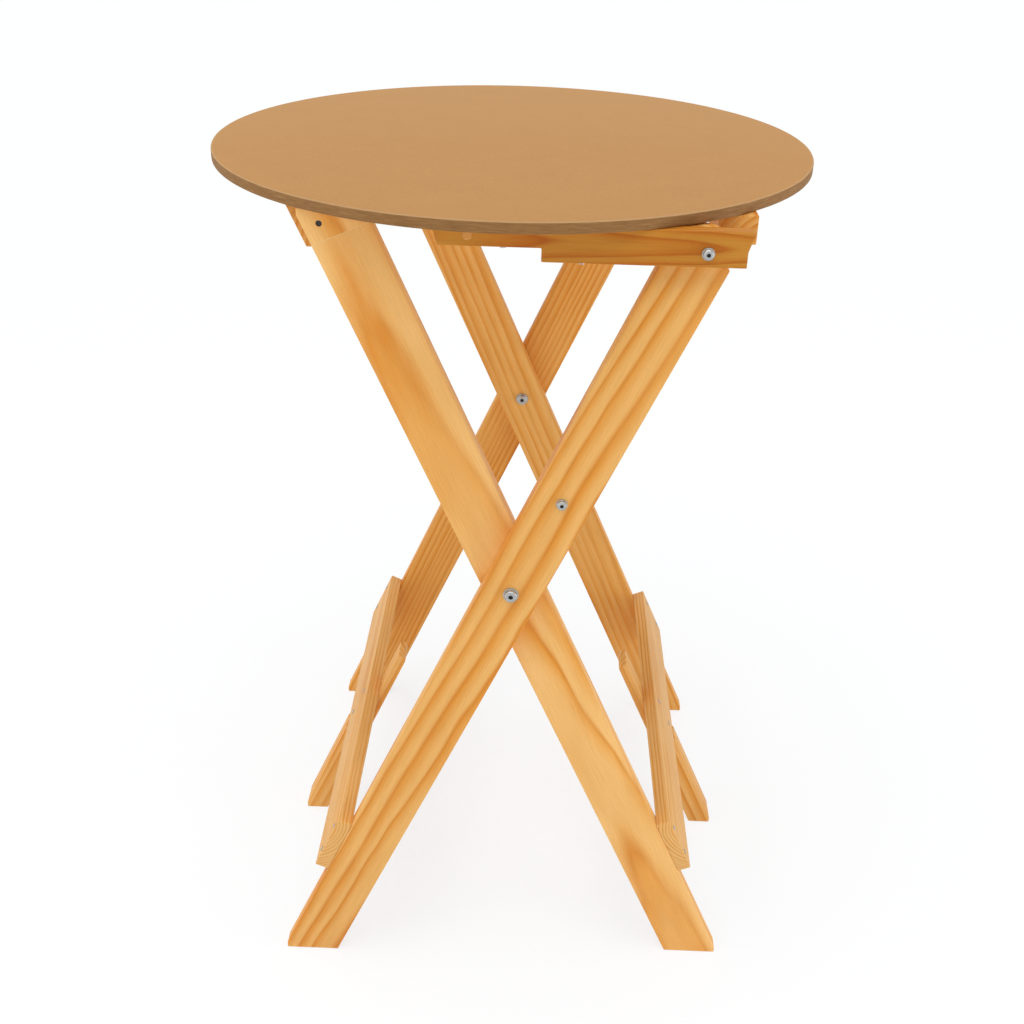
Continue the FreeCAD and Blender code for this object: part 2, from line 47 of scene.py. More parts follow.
# Outer legs: two pine boards that lean to the right and carry the hinge of the top.
# They are planed stock with softly eased edges, cut level at the foot and stepped in
# to a round head about the hinge bolt.
LEAN = math.radians(24)
PIVOT = Vector((0.017, 0.0, 0.584))
LEG_HALF = 0.033
OUTER_FACE = 0.300
OUTER_BACK = 0.280
TRIM = 0.0035
UNDERSIDE = 1.018
HINGE = Vector((0.200434, 0.0, 0.996))
HINGE_REACH = (HINGE.z - PIVOT.z) / math.cos(LEAN)
HEAD = 0.0205
HEAD_SHOULDER = 0.010
HINGE_CLEAR = 0.0015
EASE = 0.0013
CORNER_ANGLE = 0.35
SMOOTH_ANGLE = 0.7
HONEY = (0.855, 0.484, 0.156)
AMBER = (0.768, 0.316, 0.042)
LATE_LINE = (0.692, 0.244, 0.024)
GLUE = (0.88, 0.60, 0.28)
GLUE_HALF = 0.00035
SPLICE_SHIFT = (0.019, -0.012, 0.31)


def leaning(side):
    """The frame of a leg: across it, through it and along it from the pivot; side 1 leans to the right."""
    return Matrix.Translation(PIVOT) @ Matrix.Rotation(side * LEAN, 4, "Y")


def level(across, height):
    """How far along a leg a level height lies, at a place across it."""
    return across * math.tan(LEAN) + (height - PIVOT.z) / math.cos(LEAN)


def foot_end(outside, inside):
    """Corners of a foot that is cut level, with its sharp outer corner taken off."""
    trimmed = outside + TRIM * math.cos(LEAN)
    heel = (outside, level(outside, 0) + TRIM / math.sin(LEAN))
    return [heel, (trimmed, level(trimmed, 0)), (inside, level(inside, 0))]


def thickened(bm, way):
    """Grows a flat shape into a solid along the given way."""
    grown = bmesh.ops.extrude_face_region(bm, geom=bm.faces[:])["geom"]
    moved = [item for item in grown if isinstance(item, bmesh.types.BMVert)]
    bmesh.ops.translate(bm, verts=moved, vec=way)
    bmesh.ops.recalc_face_normals(bm, faces=bm.faces[:])


def sharp_edges(bm):
    """The edges where a solid turns a corner."""
    joined = [edge for edge in bm.edges if len(edge.link_faces) == 2]
    return [edge for edge in joined if edge.calc_face_angle() > CORNER_ANGLE]


def eased(bm, edges, offset, segments, clamp=False):
    """Rounds edges over; a clamp keeps the rounding within short edges."""
    bmesh.ops.bevel(bm, geom=edges, affect="EDGES", offset=offset, segments=segments, profile=0.5,
                    material=-1, offset_type="OFFSET", clamp_overlap=clamp)


def lying(x, y, z):
    """Turns a flat round to face along the depth, at a place."""
    return Matrix.Translation((x, y, z)) @ Matrix.Rotation(math.pi / 2, 4, "X")


def sawn_board(outline, near, far, place, holes=(), rounded=None):
    """A board cut to an outline in its across-along plane, drilled and eased all round.
    Rounded names one corner of the outline and how far its rounding reaches."""
    bm = bmesh.new()
    corners = [bm.verts.new((across, near, along)) for across, along in outline]
    for first, second in zip(corners, corners[1:] + corners[:1]):
        bm.edges.new((first, second))
    for across, along, radius in holes:
        faced = lying(across, near, along)
        bmesh.ops.create_circle(bm, cap_ends=False, segments=32, radius=radius, matrix=faced)
    bmesh.ops.triangle_fill(bm, use_beauty=True, use_dissolve=True, edges=bm.edges[:], normal=(0, -1, 0))
    if rounded:
        index, reach = rounded
        bmesh.ops.bevel(bm, geom=[corners[index]], affect="VERTICES", offset=reach, segments=10,
                        profile=0.5, material=-1, offset_type="OFFSET")
    thickened(bm, (0, far - near, 0))

    def on_hole(vert):
        return any(abs(math.hypot(vert.co.x - a, vert.co.z - b) - r) < 1e-5 for a, b, r in holes)

    edges = [edge for edge in sharp_edges(bm) if not all(on_hole(vert) for vert in edge.verts)]
    eased(bm, edges, EASE, segments=3, clamp=True)
    bmesh.ops.transform(bm, matrix=place, verts=bm.verts[:])
    return bm


def fitted(name, bm, node, body, material):
    """Turns a mesh into the piece that stands for a node and moves with its body."""
    bmesh.ops.recalc_face_normals(bm, faces=bm.faces[:])
    for face in bm.faces:
        face.smooth = True
    for edge in bm.edges:
        if len(edge.link_faces) == 2:
            edge.smooth = edge.calc_face_angle() < SMOOTH_ANGLE
    mesh = bpy.data.meshes.new(name)
    bm.to_mesh(mesh)
    bm.free()
    piece = bpy.data.objects.new(name, mesh)
    scene.collection.objects.link(piece)
    mesh.materials.append(material)
    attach(piece, body)
    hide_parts(node)
    return piece


class Graph:
    """The shader nodes of a material or a world."""

    def __init__(self, owner):
        owner.use_nodes = True
        self.owner = owner
        self.tree = owner.node_tree
        self.tree.nodes.clear()

    def add(self, kind, inputs=None, **settings):
        """Adds a node of a kind, with its inputs linked or set to plain values."""
        node = self.tree.nodes.new(kind)
        for key, value in settings.items():
            setattr(node, key, value)
        for key, value in (inputs or {}).items():
            if isinstance(value, bpy.types.NodeSocket):
                self.tree.links.new(value, node.inputs[key])
            else:
                node.inputs[key].default_value = value
        return node

    def place(self):
        """Where a point lies in the frame of its piece."""
        return self.add("ShaderNodeTexCoord").outputs["Object"]

    def height(self, vector):
        """How far along Z a place lies."""
        return self.add("ShaderNodeSeparateXYZ", {"Vector": vector}).outputs["Z"]

    def from_axis(self, vector):
        """How far from the Z axis a place lies."""
        flat = self.stretch(vector, 0.0)
        return self.add("ShaderNodeVectorMath", {0: flat}, operation="LENGTH").outputs["Value"]

    def math(self, operation, first, second=0.0, third=0.0):
        return self.add("ShaderNodeMath", {0: first, 1: second, 2: third}, operation=operation).outputs[0]

    def vector(self, operation, first, second):
        return self.add("ShaderNodeVectorMath", {0: first, 1: second}, operation=operation).outputs[0]

    def stretch(self, vector, along):
        """Scales a place along Z alone."""
        return self.vector("MULTIPLY", vector, (1.0, 1.0, along))

    def noise(self, vector, scale, detail, rough=0.5):
        values = {"Vector": vector, "Scale": scale, "Detail": detail, "Roughness": rough}
        return self.add("ShaderNodeTexNoise", values)

    def rise(self, value, start, end, least=0.0):
        """Rises from the least to all between two values."""
        span = {"Value": value, "From Min": start, "From Max": end, "To Min": least}
        return self.add("ShaderNodeMapRange", span).outputs[0]

    def ramp(self, factor, stops):
        """Runs through colours as a factor passes their places."""
        node = self.add("ShaderNodeValToRGB", {"Fac": factor})
        while len(node.color_ramp.elements) < len(stops):
            node.color_ramp.elements.new(0.5)
        for element, (place, colour) in zip(node.color_ramp.elements, stops):
            element.position = place
            element.color = (*colour, 1.0)
        return node.outputs["Color"]

    def blend(self, mode, amount, first, second):
        """Mixes two colours, either of which may be plain."""
        first, second = ((*tone, 1.0) if isinstance(tone, tuple) else tone for tone in (first, second))
        mixed = {0: amount, 6: first, 7: second}
        return self.add("ShaderNodeMix", mixed, data_type="RGBA", blend_type=mode).outputs[2]

    def finish(self, colour, roughness, height, strength, distance, metallic=0.0):
        """Ends a material with its surface and a fine relief."""
        relief = {"Height": height, "Strength": strength, "Distance": distance}
        shader = self.add("ShaderNodeBsdfPrincipled", {
            "Base Color": colour,
            "Roughness": roughness,
            "Metallic": metallic,
            "Specular IOR Level": 0.5 if metallic else 0.22,
            "Normal": self.add("ShaderNodeBump", relief).outputs["Normal"],
        })
        self.add("ShaderNodeOutputMaterial", {"Surface": shader.outputs["BSDF"]})
        return self.owner


def between(first, second, share):
    """A colour that lies a share of the way from the first to the second."""
    return tuple((1.0 - share) * a + share * b for a, b in zip(first, second))


def pine(name, turn, centre, heart, ring, taper, waver, tone_and_shade, seed, bold=0.42, splice=None):
    """Pine with its growth rings laid out in the solid: turn brings the grain to Z, and heart is
    where the middle of the tree lies beside the board's centre. Ring is a year's growth, taper the
    rings gained along the board and waver how far they stray. A tint over the whole board gives its own
    tone, and on the cleats it also gives painted shade from the top above. Bold is how clearly the rings
    show where they are faint. A splice is a glued end from there up."""
    g = Graph(bpy.data.materials.new(name))
    offset = -(turn.to_matrix() @ Vector(centre)) - Vector((*heart, 0))
    laid = {"Vector": g.place(), "Location": offset, "Rotation": turn}
    grain = g.add("ShaderNodeMapping", laid).outputs["Vector"]
    if splice is not None:
        height = g.height(grain)
        beyond = g.math("GREATER_THAN", height, splice)
        glue = g.math("LESS_THAN", g.math("ABSOLUTE", g.math("SUBTRACT", height, splice)), GLUE_HALF)
        grain = g.vector("ADD", grain, g.vector("MULTIPLY", beyond, SPLICE_SHIFT))
    drift = g.vector("ADD", grain, (seed, seed * 0.7, seed * 1.3))
    sway = g.noise(g.stretch(drift, 0.20), 11.0, 3.0, 0.55).outputs["Color"]
    sway = g.vector("SUBTRACT", sway, (0.5, 0.5, 0.5))
    bent = g.vector("ADD", grain, g.vector("MULTIPLY", sway, (waver, waver, 0.0)))
    count = g.math("MULTIPLY_ADD", g.height(bent), taper, g.math("DIVIDE", g.from_axis(bent), ring))
    pace = {"W": g.math("MULTIPLY", count, 0.41), "Scale": 1.0, "Detail": 1.0}
    uneven = g.add("ShaderNodeTexNoise", pace, noise_dimensions="1D").outputs[0]
    year = g.math("FRACT", g.math("MULTIPLY_ADD", uneven, 1.3, count))
    pale, amber, late = (
        tuple(part * tint for part, tint in zip(colour, tone_and_shade)) for colour in (HONEY, AMBER, LATE_LINE)
    )
    colour = g.ramp(year, [
        (0.00, pale),
        (0.24, between(pale, amber, 0.10)),
        (0.50, between(pale, amber, 0.62)),
        (0.68, amber),
        (0.79, late),
        (0.92, between(pale, amber, 0.30)),
        (1.00, pale),
    ])
    figure = g.noise(g.stretch(drift, 0.25), 23.0, 2.0).outputs[0]
    strong = g.rise(figure, 0.36, 0.60, bold)
    colour = g.blend("MIX", strong, between(pale, amber, 0.20), colour)
    fibre = g.noise(g.stretch(drift, 0.018), 1100.0, 3.0, 0.6).outputs[0]
    threads = g.ramp(fibre, [
        (0.30, (0.86, 0.83, 0.76)),
        (0.55, (1.0, 1.0, 1.0)),
        (0.75, (1.05, 1.06, 1.08)),
    ])
    colour = g.blend("MULTIPLY", 0.75, colour, threads)
    resin = g.noise(g.stretch(drift, 0.03), 2400.0, 1.0).outputs[0]
    dashes = g.ramp(resin, [(0.66, (1.0, 1.0, 1.0)), (0.74, (0.72, 0.58, 0.42))])
    colour = g.blend("MULTIPLY", 0.55, colour, dashes)
    cloud = g.noise(g.stretch(drift, 0.3), 14.0, 2.0).outputs[0]
    warm = g.ramp(cloud, [
        (0.32, (0.93, 0.87, 0.76)),
        (0.52, (1.0, 1.0, 1.0)),
        (0.72, (1.03, 1.05, 1.10)),
    ])
    colour = g.blend("MULTIPLY", 0.9, colour, warm)
    if splice is not None:
        colour = g.blend("MIX", g.math("MULTIPLY", glue, 0.7), colour, GLUE)
    rough = g.math("MULTIPLY_ADD", year, -0.08, g.math("MULTIPLY_ADD", fibre, 0.16, 0.50))
    relief = g.math("MULTIPLY_ADD", year, 0.04, fibre)
    return g.finish(colour, rough, relief, strength=0.16, distance=0.0004)


def upright_grain(side):
    """Brings a leg's grain to Z."""
    return Matrix.Rotation(-side * LEAN, 3, "Y").to_euler()


head_corner = (HEAD, HINGE_REACH + HEAD * math.tan(LEAN) + HEAD / math.cos(LEAN))
outer_outline = foot_end(-LEG_HALF, LEG_HALF) + [
    (LEG_HALF, HINGE_REACH - HEAD_SHOULDER),
    (HEAD, HINGE_REACH - HEAD_SHOULDER),
    head_corner,
    (-LEG_HALF, level(-LEG_HALF, UNDERSIDE - HINGE_CLEAR)),
]
outer_head = (outer_outline.index(head_corner), head_corner[1] - HINGE_REACH)
outer_middle = Vector((0, (OUTER_FACE + OUTER_BACK) / 2, 0))
front_wood = pine(
    "pine_front_outer_leg", upright_grain(1), PIVOT - outer_middle, heart=(0.046, 0.030), ring=0.0140,
    taper=1.8, waver=0.020, tone_and_shade=(1.01, 0.99, 0.93), seed=1.7, bold=0.75,
)
rear_wood = pine(
    "pine_rear_outer_leg", upright_grain(1), PIVOT + outer_middle, heart=(-0.060, 0.020), ring=0.0072,
    taper=1.6, waver=0.010, tone_and_shade=(1.0, 0.93, 0.76), seed=4.1,
)
for node, near, far, wood in (
    ("front_outer_leg", -OUTER_FACE, -OUTER_BACK, front_wood),
    ("rear_outer_leg", OUTER_BACK, OUTER_FACE, rear_wood),
):
    bm = sawn_board(outer_outline, near, far, leaning(1), rounded=outer_head)
    fitted(node + "_board", bm, node, "outer_frame", wood)

# Stretchers and mid feet: on each side a flat pine rail nailed on the outer edges of a pair of legs,
# the left one on the outer legs and the right one on the inner legs. A short pine foot at mid depth
# has a rebate that the rail sits in.
INNER_FACE = 0.2794
RAIL_OUT = -0.051
RAIL_TOP = -0.4075
RAIL_BOTTOM = -0.4925
FOOT_OUT = -0.052
FOOT_IN = -0.020
FOOT_TOP = -0.3325
FOOT_CHAMFER = 0.005
FOOT_HALF = 0.020
SEAT_GAP = 0.0003


def mirrored(outline, side):
    """An outline turned to suit the side that its frame leans to."""
    return [(side * across, along) for across, along in outline]


rail_outline = [
    (RAIL_OUT, RAIL_BOTTOM),
    (-LEG_HALF, RAIL_BOTTOM),
    (-LEG_HALF, RAIL_TOP),
    (RAIL_OUT, RAIL_TOP),
]
foot_outline = foot_end(FOOT_OUT, FOOT_IN) + [
    (FOOT_IN, FOOT_TOP - FOOT_CHAMFER),
    (FOOT_IN - FOOT_CHAMFER, FOOT_TOP),
    (-LEG_HALF, FOOT_TOP),
    (-LEG_HALF, RAIL_BOTTOM - SEAT_GAP),
    (FOOT_OUT, RAIL_BOTTOM - SEAT_GAP),
]
depth_grain = Matrix.Rotation(math.pi / 2, 3, "X").to_euler()
for side, name, half, body in (
    (1, "left", OUTER_FACE, "outer_frame"),
    (-1, "right", INNER_FACE, "inner_frame"),
):
    middle = leaning(side) @ Vector((side * (RAIL_OUT - LEG_HALF) / 2, 0.0, (RAIL_TOP + RAIL_BOTTOM) / 2))
    rail_wood = pine(
        f"pine_{name}_stretcher", depth_grain, middle, heart=(-0.034 * side, -0.036), ring=0.0046,
        taper=0.9, waver=0.009, tone_and_shade=(0.96, 1.03, 1.22), seed=7.0 + side,
    )
    bm = sawn_board(mirrored(rail_outline, side), -half, half, leaning(side))
    fitted(f"{name}_stretcher_rail", bm, f"{name}_stretcher", body, rail_wood)
    foot_wood = pine(
        f"pine_{name}_mid_foot", upright_grain(side), middle, heart=(0.050 * side, 0.030), ring=0.0085,
        taper=1.2, waver=0.008, tone_and_shade=(1.0, 1.0, 1.0), seed=11.0 + side,
    )
    bm = sawn_board(mirrored(foot_outline, side), -FOOT_HALF, FOOT_HALF, leaning(side))
    fitted(f"{name}_mid_foot_block", bm, f"{name}_mid_foot", body, foot_wood)

# Inner legs: the second pair of pine boards, leaning to the left inside the outer pair.
# They turn on the pivot bolts and end level under the top, with a sunk screw into the rung.
INNER_BACK = 0.2594
PIVOT_HOLE = 0.00408
SCREW_HOLE = 0.0033
RUNG_OUT = 0.044
RUNG_IN = -0.002
RUNG_BOTTOM = 0.972
RUNG_SCREW_DEPTH = 0.0155
top_trim = LEG_HALF - TRIM * math.cos(LEAN)
screw_across = (LEG_HALF + RUNG_IN) / 2
screw_along = level(screw_across, UNDERSIDE - RUNG_SCREW_DEPTH)
inner_outline = foot_end(-LEG_HALF, LEG_HALF) + [
    (LEG_HALF, level(LEG_HALF, UNDERSIDE) - TRIM / math.sin(LEAN)),
    (top_trim, level(top_trim, UNDERSIDE)),
    (-LEG_HALF, level(-LEG_HALF, UNDERSIDE)),
]
inner_holes = [(0.0, 0.0, PIVOT_HOLE), (-screw_across, screw_along, SCREW_HOLE)]
inner_middle = Vector((0, (INNER_FACE + INNER_BACK) / 2, 0))
front_wood = pine(
    "pine_front_inner_leg", upright_grain(-1), PIVOT - inner_middle, heart=(-0.014, 0.050), ring=0.0190,
    taper=2.6, waver=0.032, tone_and_shade=(1.10, 1.16, 1.30), seed=0.6, bold=0.50, splice=0.447,
)
rear_wood = pine(
    "pine_rear_inner_leg", upright_grain(-1), PIVOT + inner_middle, heart=(0.056, 0.026), ring=0.0105,
    taper=1.6, waver=0.012, tone_and_shade=(1.03, 1.01, 0.92), seed=5.3,
)
for node, near, far, wood in (
    ("front_inner_leg", -INNER_FACE, -INNER_BACK, front_wood),
    ("rear_inner_leg", INNER_BACK, INNER_FACE, rear_wood),
):
    bm = sawn_board(mirrored(inner_outline, -1), near, far, leaning(-1), inner_holes)
    fitted(node + "_board", bm, node, "inner_frame", wood)

# Top rung: a pine bar between the tops of the inner legs, on which the top rests.
# It is sawn level above and below and held by a sunk screw through each leg.
RUNG_ACROSS = 0.017
RUNG_ALONG = 0.46
rung_outline = [
    (RUNG_OUT, level(RUNG_OUT, UNDERSIDE)),
    (RUNG_IN, level(RUNG_IN, UNDERSIDE)),
    (RUNG_IN, level(RUNG_IN, RUNG_BOTTOM)),
    (RUNG_OUT, level(RUNG_OUT, RUNG_BOTTOM)),
]
rung_middle = leaning(-1) @ Vector((-RUNG_ACROSS, 0.0, RUNG_ALONG))
rung_wood = pine(
    "pine_rung", depth_grain, rung_middle, heart=(0.05, 0.03), ring=0.0080,
    taper=0.5, waver=0.006, tone_and_shade=(0.88, 0.80, 0.65), seed=13.0,
)
bm = sawn_board(mirrored(rung_outline, -1), -INNER_BACK, INNER_BACK, leaning(-1))
fitted("top_rung_bar", bm, "top_rung", "inner_frame", rung_wood)

# Table top: a round of raw medium-density fibreboard, sawn and lightly sanded at the rim,
# where the pressed fibres show darker and in faint level layers, with a thin painted highlight along the
# upper edge.
TOP_RADIUS = 0.350
TOP_LEVEL = 1.030
RIM_ROUND = 0.0015
SAWN_START = TOP_RADIUS - 0.00135
SAWN_END = TOP_RADIUS - 0.00065
LIP_START = TOP_RADIUS - 0.0019
LIP_END = TOP_RADIUS - 0.0012
LIP_FOOT = TOP_LEVEL - 0.0010
LIP_CREST = TOP_LEVEL - 0.0006
LIP_HIGHLIGHT = (0.720, 0.470, 0.250)
g = Graph(bpy.data.materials.new("raw_fibreboard"))
place = g.place()
speckle = g.noise(place, 650.0, 4.0, 0.65).outputs[0]
mottle = g.noise(place, 22.0, 3.0).outputs[0]
face = g.ramp(speckle, [
    (0.30, (0.454, 0.230, 0.074)),
    (0.50, (0.495, 0.257, 0.088)),
    (0.72, (0.533, 0.284, 0.103)),
])
tint = g.ramp(mottle, [(0.30, (0.985, 0.985, 0.98)), (0.70, (1.015, 1.015, 1.02))])
face = g.blend("MULTIPLY", 1.0, face, tint)
layers = g.noise(g.stretch(place, 26.0), 55.0, 4.0, 0.7).outputs[0]
sawn = g.ramp(layers, [
    (0.30, (0.198, 0.094, 0.027)),
    (0.52, (0.288, 0.142, 0.045)),
    (0.74, (0.401, 0.220, 0.082)),
])
reach = g.from_axis(place)
on_rim = g.rise(reach, SAWN_START, SAWN_END)
colour = g.blend("MIX", on_rim, face, sawn)
# Painted highlight: a thin pale band along the rim's upper edge, where the eased edge catches the light.
highlight_out = g.rise(reach, LIP_START, LIP_END)
highlight_up = g.rise(g.height(place), LIP_FOOT, LIP_CREST)
lip_highlight = g.math("MULTIPLY", g.math("MULTIPLY", highlight_out, highlight_up), 0.45)
colour = g.blend("MIX", lip_highlight, colour, LIP_HIGHLIGHT)
rough = g.math("MULTIPLY_ADD", speckle, 0.15, 0.62)
relief = g.math("MULTIPLY_ADD", layers, on_rim, speckle)
fibreboard = g.finish(colour, rough, relief, strength=0.12, distance=0.0004)
bm = bmesh.new()
raised = Matrix.Translation((0, 0, UNDERSIDE))
bmesh.ops.create_circle(bm, cap_ends=True, segments=256, radius=TOP_RADIUS, matrix=raised)
thickened(bm, (0, 0, TOP_LEVEL - UNDERSIDE))
eased(bm, sharp_edges(bm), RIM_ROUND, segments=4)
fitted("table_top_round", bm, "table_top", "top", fibreboard)

# Cleats: stepped pine boards screwed under the top outside the outer legs, turning on the hinge bolts,
# each with a round wooden plug near its left end.
CLEAT_BACK = 0.3006
CLEAT_FACE = 0.3186
CLEAT_LEFT = -0.071
CLEAT_SLANT = 0.007
CLEAT_STEP = 0.038
CLEAT_RIGHT = HINGE.x + 0.045
CLEAT_NOSE = 0.006
NOSE_BOTTOM = UNDERSIDE - 0.020
STRIP_BOTTOM = UNDERSIDE - 0.022
CLEAT_BOTTOM = UNDERSIDE - 0.036
HINGE_HOLE = 0.00308
PLUG = (-0.035, 1.007)
PLUG_HOLE = 0.00505
PLUG_RADIUS = 0.005
PLUG_EASE = 0.0004
cleat_outline = [
    (CLEAT_LEFT, UNDERSIDE),
    (CLEAT_RIGHT, UNDERSIDE),
    (CLEAT_RIGHT - CLEAT_NOSE, NOSE_BOTTOM),
    (CLEAT_RIGHT - CLEAT_NOSE, CLEAT_BOTTOM),
    (CLEAT_STEP, CLEAT_BOTTOM),
    (CLEAT_STEP, STRIP_BOTTOM),
    (CLEAT_LEFT + CLEAT_SLANT, STRIP_BOTTOM),
]
cleat_holes = [(HINGE.x, HINGE.z, HINGE_HOLE), (*PLUG, PLUG_HOLE)]
across_grain = Matrix.Rotation(-math.pi / 2, 3, "Y").to_euler()
plug_wood = pine(
    "pine_plug", depth_grain, (0, 0, 0), heart=(0.3, 0.2), ring=0.002,
    taper=0.2, waver=0.002, tone_and_shade=(0.78, 0.70, 0.60), seed=21.0,
)
for end, near, far, seed in (
    ("front", -CLEAT_FACE, -CLEAT_BACK, 3.0),
    ("rear", CLEAT_BACK, CLEAT_FACE, 8.0),
):
    cleat_middle = (0.09, (near + far) / 2, NOSE_BOTTOM)
    # Their tint darkens the pine far below the legs' as painted shade, for the top's shadow on the cleats.
    wood = pine(
        f"pine_{end}_cleat", across_grain, cleat_middle, heart=(-0.004, 0.016), ring=0.0046,
        taper=8.0, waver=0.014, tone_and_shade=(0.66, 0.50, 0.17), seed=seed, bold=1.0,
    )
    bm = sawn_board(cleat_outline, near, far, Matrix.Identity(4), cleat_holes)
    fitted(f"{end}_cleat_board", bm, f"{end}_cleat", "top", wood)
    low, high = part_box(f"{end}_cleat_dowel")
    bm = bmesh.new()
    faced = lying((low.x + high.x) / 2, low.y, (low.z + high.z) / 2)
    bmesh.ops.create_circle(bm, cap_ends=True, segments=32, radius=PLUG_RADIUS, matrix=faced)
    thickened(bm, (0, high.y - low.y, 0))
    eased(bm, sharp_edges(bm), PLUG_EASE, segments=2)
    fitted(f"{end}_cleat_plug", bm, f"{end}_cleat_dowel", "top", plug_wood)

# Batten and catch block: plain pine strips, planed square and screwed up into the underside of the top,
# the batten beyond the hinge to stiffen it and the block beside the rung to keep it from sliding.
for node, seed in (("right_batten", 15.0), ("catch_block", 17.0)):
    low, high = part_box(node)
    outline = [(low.x, low.z), (high.x, low.z), (high.x, high.z), (low.x, high.z)]
    wood = pine(
        f"pine_{node}", depth_grain, (low + high) / 2, heart=(0.04, 0.03), ring=0.0080,
        taper=0.5, waver=0.006, tone_and_shade=(0.92, 0.86, 0.74), seed=seed,
    )
    bm = sawn_board(outline, low.y, high.y, Matrix.Identity(4))
    fitted(node + "_strip", bm, node, "top", wood)

# Bolts, washers and nuts: bright zinc-plated steel, with round heads and a hexagon socket.
# The pivot bolts go through both legs to a nut, the smaller hinge and stay bolts into sunk inserts.
CROWN_ROUND = 0.0012
CROWN_LIP = 0.0004
BOLT_POINT = 0.0006
SOCKET_DEPTH = 0.0025
g = Graph(bpy.data.materials.new("zinc_plate"))
cloud = g.noise(g.place(), 420.0, 3.0).outputs[0]
colour = g.ramp(cloud, [(0.3, (0.36, 0.37, 0.36)), (0.7, (0.50, 0.51, 0.50))])
rough = g.math("MULTIPLY_ADD", cloud, 0.22, 0.26)
zinc = g.finish(colour, rough, cloud, strength=0.06, distance=0.0002, metallic=1.0)
# Painted shade: a near-black steel laid in the hexagon sockets, and on the sunk rung screws, for the shade
# deep in those recesses.
g = Graph(bpy.data.materials.new("painted_socket_shade"))
shade_speckle = g.noise(g.place(), 900.0, 2.0).outputs[0]
colour = g.ramp(shade_speckle, [(0.3, (0.020, 0.020, 0.019)), (0.7, (0.075, 0.074, 0.070))])
rough = g.math("MULTIPLY_ADD", shade_speckle, 0.2, 0.5)
socket_shade = g.finish(colour, rough, shade_speckle, strength=0.05, distance=0.0002, metallic=0.4)


def axis_of(node):
    """Where a round piece that lies along the depth has its axis, and where it starts and ends."""
    low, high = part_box(node)
    return (low.x + high.x) / 2, low.y, high.y, (low.z + high.z) / 2


def lifted(bm, edges, step, widen=1.0, centre=(0, 0, 0)):
    """Grows a loop of edges along the bolt's axis, and in or out from it; gives the new loop."""
    grown = bmesh.ops.extrude_edge_only(bm, edges=edges)["geom"]
    verts = [item for item in grown if isinstance(item, bmesh.types.BMVert)]
    bmesh.ops.translate(bm, verts=verts, vec=(0, step, 0))
    bmesh.ops.scale(bm, verts=verts, vec=(widen, 1, widen), space=Matrix.Translation(-Vector(centre)))
    return [item for item in grown if isinstance(item, bmesh.types.BMEdge)]


def ring_edges(bm, segments, radius, x, y, z):
    """A round or many-sided loop of edges about the bolt's axis."""
    faced = lying(x, y, z)
    made = bmesh.ops.create_circle(bm, cap_ends=False, segments=segments, radius=radius, matrix=faced)
    return list(dict.fromkeys(edge for vert in made["verts"] for edge in vert.link_edges))


def socket_bolt(node, heading, head, head_height, socket, shank):
    """A round-headed bolt with a hexagon socket; heading 1 drives it to the back."""
    x, low, high, z = axis_of(node)
    start, end = (low, high) if heading > 0 else (high, low)
    bm = bmesh.new()
    brim = ring_edges(bm, 48, head - CROWN_ROUND, x, start, z)
    key = ring_edges(bm, 6, socket, x, start, z)
    bmesh.ops.triangle_fill(bm, use_beauty=True, use_dissolve=False, edges=brim + key)
    crown = set(bm.faces)
    floor = lifted(bm, key, heading * SOCKET_DEPTH)
    bmesh.ops.triangle_fill(bm, use_beauty=True, use_dissolve=False, edges=floor)
    # The socket's walls and floor take the second material, the painted shade of the recess.
    for face in set(bm.faces) - crown:
        face.material_index = 1
    centre = (x, 0, z)
    loop = lifted(bm, brim, heading * CROWN_LIP, (head - CROWN_LIP) / (head - CROWN_ROUND), centre)
    loop = lifted(bm, loop, heading * (CROWN_ROUND - CROWN_LIP), head / (head - CROWN_LIP), centre)
    loop = lifted(bm, loop, heading * (head_height - CROWN_ROUND))
    loop = lifted(bm, loop, 0.0, shank / head, centre)
    loop = lifted(bm, loop, end - start - heading * (head_height + BOLT_POINT))
    loop = lifted(bm, loop, heading * BOLT_POINT, (shank - BOLT_POINT) / shank, centre)
    bmesh.ops.triangle_fill(bm, use_beauty=True, use_dissolve=False, edges=loop)
    bolt = fitted(node + "_steel", bm, node, "outer_frame", zinc)
    bolt.data.materials.append(socket_shade)


def flat_ring(node, outer, inner, segments, ease):
    """A washer, or with six sides a nut, pressed from plate and eased at its outer edges."""
    x, low, high, z = axis_of(node)
    bm = bmesh.new()
    edges = ring_edges(bm, segments, outer, x, low, z) + ring_edges(bm, 32, inner, x, low, z)
    bmesh.ops.triangle_fill(bm, use_beauty=True, use_dissolve=False, edges=edges)
    thickened(bm, (0, high - low, 0))

    def outside(vert):
        return math.hypot(vert.co.x - x, vert.co.z - z) > (outer + inner) / 2

    corners = [edge for edge in sharp_edges(bm) if all(outside(vert) for vert in edge.verts)]
    eased(bm, corners, ease, segments=2)
    fitted(node + "_steel", bm, node, "outer_frame", zinc)


for end in ("front", "rear"):
    socket_bolt(f"{end}_pivot_bolt", 1, head=0.0075, head_height=0.005, socket=0.003, shank=0.004)
    for place in ("head", "nut"):
        flat_ring(f"{end}_pivot_{place}_washer", outer=0.009, inner=0.00405, segments=40, ease=0.0003)
    flat_ring(f"{end}_pivot_nut", outer=0.0075, inner=0.00405, segments=6, ease=0.0005)
for name, heading in (("front_hinge", 1), ("rear_hinge", -1), ("stay", 1)):
    socket_bolt(f"{name}_bolt", heading, head=0.0055, head_height=0.004, socket=0.00225, shank=0.003)
    flat_ring(f"{name}_washer", outer=0.0065, inner=0.00305, segments=36, ease=0.0003)

